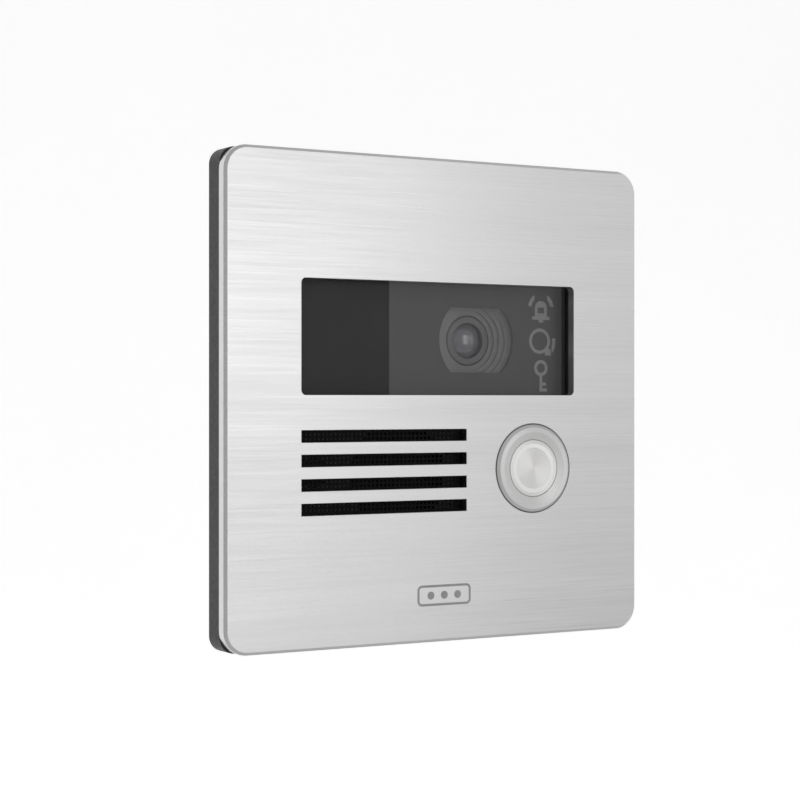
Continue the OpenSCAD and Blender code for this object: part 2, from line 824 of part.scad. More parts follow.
module main_board() {
    color([0.05, 0.25, 0.14]) slab(board_y, board_back_y) difference() {
        square([board_w, board_h], center = true);
        for (i = [-1, 1], j = [-1, 1]) {
            translate([i * (board_w / 2 - 3), j * (board_h / 2 - 3)]) square([8, 8], center = true);
            translate([i * post_x, j * post_z]) circle(1.5);
        }
    }
}

module board_chips() {
    color([0.08, 0.08, 0.09]) {
        for (c = near_chips) block(c[0], c[1], c[2], c[3], board_y - c[4], board_y);
        for (c = far_chips) block(c[0], c[1], c[2], c[3], board_back_y, board_back_y + c[4]);
    }
}

module power_transformer() {
    color([0.1, 0.1, 0.1]) {
        block(coil_x, coil_z, 14, 12, board_back_y, coil_y);
        block(coil_x, coil_z, 10, 14, coil_y - eps, coil_end_y);
        block(coil_x, coil_z, 14, 12, coil_end_y - eps, coil_end_y + 1.6);
    }
}

module capacitors() {
    color([0.15, 0.15, 0.35]) for (x = capacitor_xs)
        rod(x, capacitor_z, board_back_y, capacitor_end_y, capacitor_r);
}

module network_jack() {
    mouth_w = 11.8;
    mouth_h = 7.2;
    color([0.75, 0.75, 0.77]) difference() {
        block(jack_x, port_z, jack_w, jack_h, board_back_y, tub_d + 0.2);
        block(jack_x, port_z - 0.6, mouth_w, mouth_h, port_floor_y, tub_d + 1);
        block(jack_x, port_z - 5.1, mouth_w / 2, 2.2, port_floor_y, tub_d + 1);
    }
}

module terminal_headers() {
    color([0.1, 0.35, 0.18]) for (x = terminal_xs) difference() {
        block(x, port_z, terminal_w, terminal_h, board_back_y, plug_y + 2);
        block(x, port_z, terminal_w - 1.6, terminal_h - 1.6, 18.4, plug_y + 3);
    }
}

module terminal_plugs() {
    color([0.12, 0.42, 0.2]) for (x = terminal_xs) difference() {
        union() {
            block(x, port_z, terminal_w - 2, terminal_h - 2, 18.6, plug_y + 2);
            block(x, port_z, terminal_w, terminal_h, plug_y + 2.1 - eps, tub_d + 1.4);
            block(x, port_z, terminal_w - 2, terminal_h - 2, plug_y + 2 - eps, plug_y + 2.2);
        }
        for (i = [0 : terminal_poles - 1]) {
            offset_x = (i - (terminal_poles - 1) / 2) * terminal_pitch;
            block(x + offset_x, port_z - 1.5, 2.2, 2.6, tub_d - 3, tub_d + 2);
            rod(x + offset_x, port_z + 2.6, tub_d + 0.6, tub_d + 2, 1.2);
        }
    }
}

// ---- small switches at the back ----

module reset_switch() {
    color([0.1, 0.1, 0.1]) difference() {
        block(reset_x, reset_z, 6, 6, board_back_y, 20.3);
        rod(reset_x, reset_z, 18.2, 21, reset_r + 0.07);
    }
}

module reset_button() {
    color([0.85, 0.85, 0.85]) rod(reset_x, reset_z, 18.8, tub_d - 0.6, reset_r);
}

module tamper_switch() {
    color([0.1, 0.1, 0.1]) {
        block(tamper_x, tamper_z, 8, 8, board_back_y, tamper_switch_y);
        rod(tamper_x, tamper_z, tamper_switch_y - eps, tamper_switch_y + 0.8, 1.2);
    }
}

module tamper_plunger() {
    color([0.85, 0.85, 0.82]) turned(tamper_x, tamper_z, [
        [0, 23.6], [tamper_r, 23.6], [tamper_r, tamper_collar_y], [tamper_collar_r, tamper_collar_y],
        [tamper_collar_r, tub_in_y - 0.1], [tamper_r, tub_in_y - 0.1],
        [tamper_r, tub_d + tamper_rise - 1], [1.6, tub_d + tamper_rise - 0.2], [0, tub_d + tamper_rise]
    ]);
}

module tamper_spring() {
    color([0.7, 0.7, 0.72])
        coil(tamper_x, tamper_z, tamper_switch_y + 0.05, tamper_collar_y - 0.05, 2.9, 0.25, 5);
}

// ---- fasteners ----

// A screw that points along -Y, with a cross or socket drive in its head
module screw(x, z, head_y0, head_y1, head_r, shank_r, tip_y, drive_r = 1) {
    difference() {
        rod(x, z, head_y0, head_y1, head_r);
        translate([x, head_y1 + 0.1, z]) rotate([90, 0, 0]) cylinder(h = 0.9, r = drive_r, $fn = 6);
    }
    rod(x, z, tip_y, head_y0 + eps, shank_r);
}

module cover_screws() {
    color([0.3, 0.3, 0.3]) for (x = lug_xs) translate([x, lug_y, 0]) {
        difference() {
            translate([0, 0, seat_z - 1.8]) cylinder(h = 1.8, r = edge_head_r);
            translate([0, 0, seat_z - 2.3]) cylinder(h = 1.4, r = 0.8, $fn = 6);
        }
        translate([0, 0, seat_z - eps]) cylinder(h = 8.2, r = edge_screw_r);
    }
}

module rear_cover_screws() {
    color([0.6, 0.6, 0.6]) for (i = [-1, 1], j = [-1, 1])
        screw(i * boss_x, j * boss_z, tub_d - 2.4, tub_d - 0.2, 2.8, 1.25, -4, 1.3);
}

module board_screws() {
    color([0.6, 0.6, 0.6]) for (i = [-1, 1], j = [-1, 1])
        screw(i * post_x, j * post_z, board_back_y, board_back_y + 1.8, 2.6, 1.3, 10);
}

module bracket_screws() {
    color([0.6, 0.6, 0.6]) for (p = bracket_holes)
        screw(p[0], p[1], bracket_t, bracket_t + 1.2, 1.6, 0.8, -3, 0.7);
}

front_cover();
front_frame();
rear_cover();
rear_seal();
wall_gasket();
window_seal();
window_glass();
camera_mask();
ir_filter_panel();
camera_bracket();
led_board();
ir_leds();
status_leds();
light_guide();
status_icons();
lens_baffle();
lens_front_element();
lens_iris();
lens_rear_element();
lens_barrel();
lens_holder();
image_sensor();
sensor_board();
board_connector();
led_ribbon();
grille_mesh();
speaker_gasket();
speaker_basket();
speaker_surround();
speaker_cone();
speaker_magnet();
speaker_leads();
microphone_boot();
microphone();
button_housing();
button_seal();
button_nut();
button_cap();
button_light_ring();
button_spring();
switch_plunger();
button_switch();
button_leads();
main_board();
board_chips();
power_transformer();
capacitors();
network_jack();
terminal_headers();
terminal_plugs();
reset_switch();
reset_button();
tamper_switch();
tamper_plunger();
tamper_spring();
cover_screws();
rear_cover_screws();
board_screws();
bracket_screws();
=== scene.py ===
import json
import math

import bmesh
import bpy
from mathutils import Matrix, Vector


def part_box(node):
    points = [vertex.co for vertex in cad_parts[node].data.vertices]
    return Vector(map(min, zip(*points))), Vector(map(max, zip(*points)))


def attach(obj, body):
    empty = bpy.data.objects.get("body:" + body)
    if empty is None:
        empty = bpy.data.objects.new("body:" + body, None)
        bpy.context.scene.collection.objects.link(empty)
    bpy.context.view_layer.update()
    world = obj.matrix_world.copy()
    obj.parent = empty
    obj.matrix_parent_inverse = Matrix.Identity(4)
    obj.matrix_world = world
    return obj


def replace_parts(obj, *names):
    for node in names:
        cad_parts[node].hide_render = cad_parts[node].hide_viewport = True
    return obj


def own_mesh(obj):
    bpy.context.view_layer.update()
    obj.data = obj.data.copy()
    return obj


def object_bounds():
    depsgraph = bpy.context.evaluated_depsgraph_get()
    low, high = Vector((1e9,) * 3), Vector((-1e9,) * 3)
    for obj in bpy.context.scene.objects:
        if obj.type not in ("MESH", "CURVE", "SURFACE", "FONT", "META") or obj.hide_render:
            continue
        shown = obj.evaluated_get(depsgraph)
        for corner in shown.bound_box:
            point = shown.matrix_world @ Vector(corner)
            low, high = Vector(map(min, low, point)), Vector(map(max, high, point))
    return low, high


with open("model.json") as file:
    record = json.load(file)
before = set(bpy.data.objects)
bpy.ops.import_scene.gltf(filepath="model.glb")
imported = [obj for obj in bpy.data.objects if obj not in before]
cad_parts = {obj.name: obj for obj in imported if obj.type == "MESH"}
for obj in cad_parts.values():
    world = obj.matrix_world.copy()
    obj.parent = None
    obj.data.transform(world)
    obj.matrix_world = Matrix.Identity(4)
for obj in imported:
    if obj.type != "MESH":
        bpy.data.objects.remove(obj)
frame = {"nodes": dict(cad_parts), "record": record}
cad_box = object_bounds()
nodes = frame["nodes"]
MM = 0.001

# ---------------------------------------------------------------- camera

# The camera stands to the left of the panel, level with its middle, and looks along VIEW_ANGLE
VIEW_ANGLE = 30.74
FOCAL_LENGTH = 88.38
STAND_LEFT, STAND_BACK = 0.2586, 0.4138
scene = bpy.context.scene
camera_data = bpy.data.cameras.new("camera")
camera_data.sensor_width = 36
camera_data.lens = FOCAL_LENGTH
camera_data.clip_start = 0.01
camera_data.clip_end = 50
camera = bpy.data.objects.new("camera", camera_data)
cover_low, cover_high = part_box("front_cover")
camera.location = (-STAND_LEFT, cover_low.y - STAND_BACK, (cover_low.z + cover_high.z) / 2)
camera.rotation_euler = (math.radians(90), 0, math.radians(-VIEW_ANGLE))
scene.collection.objects.link(camera)
scene.camera = camera

# ---------------------------------------------------------------- node helpers


class Material:
    """A node material with short calls for the nodes that the finishes below share."""

    def __init__(self, name):
        self.material = bpy.data.materials.new(name)
        self.material.use_nodes = True
        self.tree = self.material.node_tree
        self.tree.nodes.clear()
        self.output = self.tree.nodes.new("ShaderNodeOutputMaterial")
        self.shader = self.tree.nodes.new("ShaderNodeBsdfPrincipled")
        self.link(self.shader.outputs[0], self.output.inputs[0])
        self.position = None

    def link(self, a, b):
        self.tree.links.new(a, b)

    def where(self):
        if self.position is None:
            self.position = self.tree.nodes.new("ShaderNodeTexCoord").outputs["Object"]
        return self.position

    def mapped(self, scale, source=None):
        made = self.tree.nodes.new("ShaderNodeMapping")
        made.inputs["Scale"].default_value = scale
        self.link(source or self.where(), made.inputs["Vector"])
        return made.outputs[0]

    def noise(self, scale, stretch=(1, 1, 1), detail=4, rough=0.55, source=None):
        made = self.tree.nodes.new("ShaderNodeTexNoise")
        made.inputs["Scale"].default_value = scale
        made.inputs["Detail"].default_value = detail
        made.inputs["Roughness"].default_value = rough
        self.link(self.mapped(stretch, source), made.inputs["Vector"])
        return made.outputs[0]

    def spread(self, value, low, high, to_low=0.0, to_high=1.0):
        made = self.tree.nodes.new("ShaderNodeMapRange")
        made.clamp = True
        for name, number in zip(("From Min", "From Max", "To Min", "To Max"), (low, high, to_low, to_high)):
            made.inputs[name].default_value = number
        self.link(value, made.inputs["Value"])
        return made.outputs[0]

    def maths(self, kind, a, b):
        made = self.tree.nodes.new("ShaderNodeMath")
        made.operation = kind
        for i, value in enumerate((a, b)):
            if isinstance(value, (int, float)):
                made.inputs[i].default_value = value
            else:
                self.link(value, made.inputs[i])
        return made.outputs[0]

    def mix(self, factor, a, b):
        made = self.tree.nodes.new("ShaderNodeMix")
        made.data_type = "RGBA"
        for slot, value in ((0, factor), (6, a), (7, b)):
            if isinstance(value, (int, float, tuple)):
                made.inputs[slot].default_value = value if slot == 0 else (*value[:3], 1)
            else:
                self.link(value, made.inputs[slot])
        return made.outputs[2]

    def bump(self, height, strength, distance, normal=None):
        made = self.tree.nodes.new("ShaderNodeBump")
        made.inputs["Strength"].default_value = strength
        made.inputs["Distance"].default_value = distance
        self.link(height, made.inputs["Height"])
        if normal is not None:
            self.link(normal, made.inputs["Normal"])
        self.link(made.outputs[0], self.shader.inputs["Normal"])

    def rounded(self, radius):
        """The surface normal, with the edges rounded off over a small radius in mm."""
        made = self.tree.nodes.new("ShaderNodeBevel")
        made.samples = 6
        made.inputs["Radius"].default_value = radius * MM
        return made.outputs[0]

    def edges(self, soft):
        """Where the rounded normal leaves the true one: the edges that hands and tools rub."""
        low, high = 0.01, 0.12
        geometry = self.tree.nodes.new("ShaderNodeNewGeometry")
        product = self.tree.nodes.new("ShaderNodeVectorMath")
        product.operation = "DOT_PRODUCT"
        self.link(soft, product.inputs[0])
        self.link(geometry.outputs["Normal"], product.inputs[1])
        return self.spread(product.outputs["Value"], 1 - low, 1 - high)

    def set(self, **values):
        names = {
            "metal": "Metallic",
            "rough": "Roughness",
            "color": "Base Color",
            "ior": "IOR",
            "coat": "Coat Weight",
            "coat_rough": "Coat Roughness",
            "coat_ior": "Coat IOR",
            "specular": "Specular IOR Level",
            "alpha": "Alpha",
            "clear": "Transmission Weight",
            "stretch": "Anisotropic",
            "turn": "Anisotropic Rotation",
            "glow": "Emission Strength",
            "glow_color": "Emission Color",
        }
        for name, value in values.items():
            entry = self.shader.inputs[names[name]]
            if isinstance(value, bpy.types.NodeSocket):
                self.link(value, entry)
            elif isinstance(value, tuple):
                entry.default_value = (*value[:3], 1)
            else:
                entry.default_value = value


# ---------------------------------------------------------------- finishes


def middle(node):
    low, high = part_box(node)
    return (low + high) / 2


def brushed_steel(name):
    """Satin stainless steel with long fine scratches along X."""
    m = Material(name)
    tone, contrast = 0.66, 0.045
    hair = m.noise(24, (1.2, 90, 90), detail=5, rough=0.7)
    band = m.noise(7, (0.5, 26, 26), detail=3, rough=0.5)
    cloud = m.noise(9, (1, 1, 1.6), detail=2, rough=0.5)
    streaks = m.maths("ADD", m.maths("MULTIPLY", hair, 0.7), m.maths("MULTIPLY", band, 0.3))
    color = m.mix(m.spread(streaks, 0.35, 0.65), (tone - contrast,) * 3, (tone + contrast,) * 3)
    soft = m.rounded(0.12)
    color = m.mix(m.maths("MULTIPLY", m.edges(soft), 0.5), color, (0.82, 0.82, 0.82))
    rough = m.maths("ADD", m.spread(hair, 0.3, 0.7, 0.26, 0.40), m.spread(cloud, 0.3, 0.7, -0.03, 0.03))
    m.set(metal=1.0, color=color, rough=rough, stretch=0.55, turn=0.25)
    m.bump(hair, 0.2, 0.00002, soft)
    return m.material


def tinted(color, factor, lift=0.0, most=1.0):
    """A colour made lighter or darker."""
    return tuple(min(most, c * factor + lift) for c in color)


def plastic(name, color, rough, grain=900, depth=0.00002, strength=0.25, specular=0.5, edge=0.25, coat=0.0):
    """Moulded plastic or rubber: fine texture, slight colour drift, softened and rubbed edges."""
    m = Material(name)
    fine = m.noise(grain, detail=2, rough=0.6)
    drift = m.noise(35, detail=3)
    base = m.mix(m.spread(drift, 0.3, 0.7), tinted(color, 0.85), tinted(color, 1.15))
    soft = m.rounded(edge)
    worn = m.maths("MULTIPLY", m.edges(soft), m.spread(m.noise(260, detail=3), 0.35, 0.65, 0.1, 0.45))
    base = m.mix(worn, base, tinted(color, 1.7, 0.03))
    m.set(
        color=base,
        rough=m.spread(fine, 0.25, 0.75, max(0.03, rough - 0.08), min(1.0, rough + 0.08)),
        specular=specular,
        coat=coat,
        coat_rough=0.12,
    )
    m.bump(fine, strength, depth, soft)
    return m.material


def metal(name, color, rough, grain=400, strength=0.15, stretch=(1, 1, 1), edge=0.1):
    """Plated or turned metal, brighter along its edges."""
    m = Material(name)
    fine = m.noise(grain, stretch, detail=4, rough=0.65)
    drift = m.noise(40, detail=2)
    base = m.mix(m.spread(drift, 0.3, 0.7), tinted(color, 0.88), color)
    soft = m.rounded(edge)
    base = m.mix(m.maths("MULTIPLY", m.edges(soft), 0.6), base, tinted(color, 1.3, 0.02, 0.95))
    m.set(metal=1.0, color=base, rough=m.spread(fine, 0.3, 0.7, max(0.05, rough - 0.07), rough + 0.07))
    m.bump(fine, strength, 0.00001, soft)
    return m.material


def turned_metal(name, color, rough, node):
    """Lathe-turned metal: rings of tool marks round the middle of a node."""
    m = Material(name)
    centre = m.tree.nodes.new("ShaderNodeVectorMath")
    centre.operation = "SUBTRACT"
    m.link(m.where(), centre.inputs[0])
    centre.inputs[1].default_value = (middle(node).x, 0, middle(node).z)
    across = m.tree.nodes.new("ShaderNodeVectorMath")
    across.operation = "LENGTH"
    m.link(m.mapped((1, 0, 1), centre.outputs[0]), across.inputs[0])
    rings = m.tree.nodes.new("ShaderNodeTexNoise")
    rings.noise_dimensions = "1D"
    rings.inputs["Scale"].default_value = 5200
    rings.inputs["Detail"].default_value = 3
    m.link(across.outputs["Value"], rings.inputs["W"])
    base = m.mix(m.spread(rings.outputs[0], 0.3, 0.7), tinted(color, 0.93), color)
    soft = m.rounded(0.12)
    base = m.mix(m.maths("MULTIPLY", m.edges(soft), 0.5), base, (0.85, 0.85, 0.85))
    m.set(metal=1.0, color=base, rough=m.spread(rings.outputs[0], 0.3, 0.7, rough - 0.05, rough + 0.05))
    m.set(stretch=0.85, turn=0.25)
    tangent = m.tree.nodes.new("ShaderNodeTangent")
    tangent.direction_type = "RADIAL"
    tangent.axis = "Y"
    m.link(tangent.outputs[0], m.shader.inputs["Tangent"])
    m.bump(rings.outputs[0], 0.12, 0.00001, soft)
    return m.material


def circuit_board(name):
    """Solder mask over copper tracks that run in square turns."""
    m = Material(name)
    cells = m.tree.nodes.new("ShaderNodeTexVoronoi")
    cells.distance = "CHEBYCHEV"
    cells.inputs["Scale"].default_value = 330
    m.link(m.mapped((1, 0.001, 1)), cells.inputs["Vector"])
    track = m.spread(cells.outputs["Distance"], 0.38, 0.42)
    base = m.mix(track, (0.012, 0.085, 0.04), (0.03, 0.16, 0.07))
    fine = m.noise(700, detail=2)
    soft = m.rounded(0.15)
    m.set(color=base, rough=m.spread(fine, 0.3, 0.7, 0.28, 0.42), coat=0.3, coat_rough=0.2)
    m.bump(track, 0.3, 0.00003, soft)
    return m.material


def clear(name, color, rough):
    """Solid glass or clear resin, with faint smears."""
    m = Material(name)
    smear = m.noise(60, detail=3)
    m.set(color=color, clear=1.0, ior=1.5, rough=m.spread(smear, 0.3, 0.8, rough, rough + 0.03))
    m.bump(m.noise(90, detail=2), 0.05, 0.00001)
    return m.material


def tinted_sheet(name, color, cover, rough):
    """A thin tinted window with an anti-glare coat: what it covers shows through."""
    m = Material(name)
    smear = m.noise(55, (1, 1, 2.5), detail=4)
    base = m.mix(m.spread(smear, 0.3, 0.7), color, tinted(color, 1.25))
    m.set(color=base, rough=m.spread(smear, 0.3, 0.8, rough, rough + 0.05), alpha=cover)
    return m.material


def mask_with_painted_light(name, color, glow):
    """Matt printed plastic behind the window, with a painted dark strip along its right edge standing in for
    the dark, shaded wall of the recess, and a faint painted glow that evens out the shade inside the window.
    """
    m = Material(name)
    # The painted shade strip along the right edge is border wide and blends in over fade
    border, fade = 1.1 * MM, 0.2 * MM
    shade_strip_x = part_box("window_glass")[1].x - border
    place = m.tree.nodes.new("ShaderNodeSeparateXYZ")
    m.link(m.where(), place.inputs[0])
    # inside is 0 in the painted shade strip and 1 elsewhere: the strip is painted near-black and glows less,
    # and the whole mask glows faintly, painted light that evens out the window's shade
    inside = m.spread(place.outputs["X"], shade_strip_x - fade, shade_strip_x + fade, 1.0, 0.0)
    fine = m.noise(600, detail=2)
    base = m.mix(m.spread(fine, 0.3, 0.7), tinted(color, 0.98), tinted(color, 1.02))
    m.set(
        color=m.mix(inside, (0.03, 0.03, 0.03), base),
        rough=m.spread(fine, 0.25, 0.75, 0.5, 0.6),
        specular=0.2,
        glow=m.spread(inside, 0.0, 1.0, 0.4 * glow, glow),
        glow_color=(1.0, 1.0, 1.0),
    )
    return m.material


def lens_with_painted_reflection(name):
    """A lens element with a bluish coating; its pale grey-blue colour is a painted reflection on the dark
    glass, drifting in tone.
    """
    m = Material(name)
    cloud = m.noise(120, detail=2)
    m.set(
        # Pale grey-blue: painted reflection on the dome, with a cloudy drift in tone
        color=m.mix(m.spread(cloud, 0.3, 0.7), (0.36, 0.365, 0.40), (0.41, 0.415, 0.45)),
        rough=m.spread(cloud, 0.3, 0.7, 0.22, 0.28),
        coat=1.0,
        coat_rough=0.05,
        coat_ior=2.3,
        specular=0.6,
    )
    return m.material


def glowing(material, strength):
    """The same finish, glowing faintly: a real backlight on the button's light ring, painted light on parts
    that are no lamp.
    """
    (shader,) = (n for n in material.node_tree.nodes if n.type == "BSDF_PRINCIPLED")
    shader.inputs["Emission Color"].default_value = (1, 1, 1, 1)
    shader.inputs["Emission Strength"].default_value = strength
    return material


FINISHES = {
    "brushed_steel": brushed_steel("steel_brushed"),
    "polished_steel": turned_metal("steel_turned", (0.84, 0.835, 0.825), 0.42, "button_cap"),
    "black_housing": plastic("black_housing", (0.016, 0.0165, 0.0175), 0.48, specular=0.42, edge=0.4),
    "dark_housing": plastic("dark_housing", (0.030, 0.031, 0.034), 0.52, edge=0.5),
    "red_silicone": plastic("red_silicone", (0.30, 0.035, 0.02), 0.62),
    "black_foam": plastic("black_foam", (0.012, 0.012, 0.012), 0.85, 500, 0.00005, 0.6),
    "grey_rubber": plastic("grey_rubber", (0.16, 0.16, 0.16), 0.7, 600, edge=0.1),
    "tinted_window": tinted_sheet("window_glass", (0.012, 0.012, 0.012), 0.2, 0.28),
    # The window mask carries a painted glow and a painted shade strip, see its finish
    "mask_grey": mask_with_painted_light("mask_grey", (0.11, 0.11, 0.11), 0.047),
    # The lens baffle glows faintly: painted light that evens out its shading
    "baffle_grey": glowing(
        plastic("baffle_grey", (0.45, 0.45, 0.45), 0.6, strength=0.03, specular=0.2, edge=0.15), 0.026
    ),
    "infrared_black": plastic(
        "infrared_black", (0.062, 0.062, 0.063), 0.55, strength=0.008, specular=0.1, edge=0.1
    ),
    "circuit_board": circuit_board("circuit_board"),
    "led_lens": clear("led_lens", (0.85, 0.86, 0.92), 0.06),
    "diffuser": plastic("diffuser", (0.75, 0.75, 0.73), 0.5),
    # The icons glow: painted light that lifts them out of the shade in the window
    "icon_grey": glowing(plastic("icon_grey", (0.22, 0.22, 0.22), 0.5, strength=0.03, edge=0.05), 0.13),
    "lens_glass": lens_with_painted_reflection("lens_glass"),
    "black_aluminium": plastic("black_aluminium", (0.38, 0.38, 0.38), 0.45, strength=0.05, edge=0.15),
    "sensor_die": plastic("sensor_die", (0.06, 0.03, 0.09), 0.12, coat=1.0),
    "connector_ivory": plastic("connector_ivory", (0.62, 0.56, 0.42), 0.45),
    "ribbon_amber": plastic("ribbon_amber", (0.42, 0.16, 0.02), 0.3),
    "black_mesh": plastic("black_mesh", (0.010, 0.010, 0.010), 0.9, specular=0.1, edge=0.05),
    "speaker_frame": plastic("speaker_frame", (0.05, 0.05, 0.055), 0.4),
    "cone_black": plastic("cone_black", (0.03, 0.03, 0.03), 0.7, 300, 0.00005, 0.5),
    "magnet_steel": metal("magnet_steel", (0.45, 0.45, 0.46), 0.35),
    "lead_red": plastic("lead_red", (0.38, 0.02, 0.015), 0.4),
    "lead_yellow": plastic("lead_yellow", (0.60, 0.38, 0.02), 0.4),
    "bright_metal": metal("bright_metal", (0.75, 0.75, 0.75), 0.25),
    "plated_brass": metal("plated_brass", (0.66, 0.58, 0.36), 0.28),
    "light_ring": glowing(plastic("light_ring", (0.80, 0.80, 0.79), 0.35, strength=0.05, edge=0.1), 0.20),
    "spring_steel": metal("spring_steel", (0.55, 0.55, 0.56), 0.25),
    "plunger_red": plastic("plunger_red", (0.45, 0.04, 0.02), 0.35),
    "chip_black": plastic("chip_black", (0.02, 0.02, 0.021), 0.5, edge=0.15),
    "capacitor_sleeve": plastic("capacitor_sleeve", (0.02, 0.03, 0.11), 0.3, edge=0.5),
    "jack_shield": metal("jack_shield", (0.62, 0.62, 0.62), 0.3, 500, 0.2, (1, 1, 12)),
    "terminal_green": plastic("terminal_green", (0.03, 0.22, 0.07), 0.4, edge=0.3),
    "switch_white": plastic("switch_white", (0.72, 0.72, 0.70), 0.35, edge=0.3),
    "dark_screw": metal("dark_screw", (0.18, 0.18, 0.18), 0.32),
    "zinc_screw": metal("zinc_screw", (0.58, 0.58, 0.56), 0.3),
}

for part in frame["record"]["subparts"]:
    for entry in nodes[part["node"]].material_slots:
        entry.material = FINISHES[part["material_slot"]]

# The bezel is turned like the cap, but a little duller
for entry in nodes["button_housing"].material_slots:
    entry.material = turned_metal("steel_bezel", (0.74, 0.74, 0.735), 0.42, "button_cap")

# ---------------------------------------------------------------- mesh helpers, all sizes in mm


def size_of(node):
    """A node's lowest and highest corners, in mm."""
    low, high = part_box(node)
    return low / MM, high / MM


def vertex(work, x, y, z):
    return work.verts.new((x * MM, y * MM, z * MM))


SHARP_ANGLE = math.radians(35)


def piece(name, work, slot, finish=None):
    """A finished mesh as a piece that rides on the panel."""
    bmesh.ops.recalc_face_normals(work, faces=work.faces)
    data = bpy.data.meshes.new(name)
    work.to_mesh(data)
    work.free()
    data.materials.append(finish or FINISHES[slot])
    for face in data.polygons:
        face.use_smooth = True
    data.set_sharp_from_angle(angle=SHARP_ANGLE)
    made = bpy.data.objects.new(name, data)
    scene.collection.objects.link(made)
    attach(made, "panel")
    return made


def lathe(work, x, z, outline, steps):
    """Turn a closed outline of (radius, depth) points about a line along Y."""
    turns = [2 * math.pi * k / steps for k in range(steps)]
    rows = []
    for radius, depth in outline:
        if radius == 0:
            rows.append([vertex(work, x, depth, z)] * steps)
        else:
            rows.append([
                vertex(work, x + radius * math.cos(t), depth, z + radius * math.sin(t)) for t in turns
            ])
    for lower, upper in zip(rows, rows[1:] + rows[:1]):
        for k in range(steps):
            after = (k + 1) % steps
            corners = list(dict.fromkeys((lower[k], lower[after], upper[after], upper[k])))
            if len(corners) > 2:
                work.faces.new(corners)


def block(work, x, z, width, height, y0, y1, edge):
    """A block with rounded edges."""
    made = bmesh.ops.create_cube(work, size=1)["verts"]
    for v in made:
        at = (x + v.co.x * width, (y0 + y1) / 2 + v.co.y * (y1 - y0), z + v.co.z * height)
        v.co = Vector(at) * MM
    edges = list(dict.fromkeys(e for v in made for e in v.link_edges))
    bmesh.ops.bevel(work, geom=edges, offset=edge * MM, segments=2, profile=0.5, affect="EDGES")


def rounded_outline(x, z, width, height, radius, steps=6):
    """Points round a rectangle with round corners."""
    points = []
    for corner, (i, j) in enumerate(((1, 1), (-1, 1), (-1, -1), (1, -1))):
        for k in range(steps + 1):
            turn = math.pi / 2 * (corner + k / steps)
            points.append((
                x + i * (width / 2 - radius) + radius * math.cos(turn),
                z + j * (height / 2 - radius) + radius * math.sin(turn),
            ))
    return points


def sheet(work, outer, y0, y1, inner=None):
    """A flat sheet between two depths; inner is the outline of its hole, with as many points."""
    near, far = ([vertex(work, px, y, pz) for px, pz in outer] for y in (y0, y1))
    count = len(outer)
    walls = [(near, far)]
    if inner:
        hole_near, hole_far = ([vertex(work, px, y, pz) for px, pz in inner] for y in (y0, y1))
        walls += [(hole_near, hole_far), (near, hole_near), (far, hole_far)]
    else:
        work.faces.new(near)
        work.faces.new(far)
    for a, b in walls:
        for k in range(count):
            work.faces.new((a[k], a[(k + 1) % count], b[(k + 1) % count], b[k]))


def tube(work, path, radius, sides=12):
    """A round tube along a path, with flat ends."""
    path = [Vector(p) for p in path]
    heading = [(path[min(i + 1, len(path) - 1)] - path[max(i - 1, 0)]).normalized() for i in range(len(path))]
    across = heading[0].orthogonal().normalized()
    rows = []
    for point, forward in zip(path, heading):
        across = (across - forward * across.dot(forward)).normalized()
        up = forward.cross(across)
        rows.append([
            vertex(work, *(point + radius * (across * math.cos(t) + up * math.sin(t))))
            for t in (2 * math.pi * k / sides for k in range(sides))
        ])
    for lower, upper in zip(rows, rows[1:]):
        for k in range(sides):
            work.faces.new((lower[k], lower[(k + 1) % sides], upper[(k + 1) % sides], upper[k]))
    work.faces.new(rows[0])
    work.faces.new(rows[-1])


def bow(a, b, c, d, steps):
    """Points on a smooth curve from a to d, with handles b and c."""
    made = []
    for i in range(steps + 1):
        t = i / steps
        s = 1 - t
        made.append(
            Vector(a) * s**3 + Vector(b) * 3 * s * s * t + Vector(c) * 3 * s * t * t + Vector(d) * t**3
        )
    return made


# ---------------------------------------------------------------- front: grille and etched mark


def settle_order(work):
    """Put the corners and faces in an order that is the same on every run, which solidify doesn't."""
    for i, vert in enumerate(sorted(work.verts, key=lambda v: tuple(v.co))):
        vert.index = i
    work.verts.sort()
    for i, face in enumerate(sorted(work.faces, key=lambda f: sorted(v.index for v in f.verts))):
        face.index = i
    work.faces.sort()


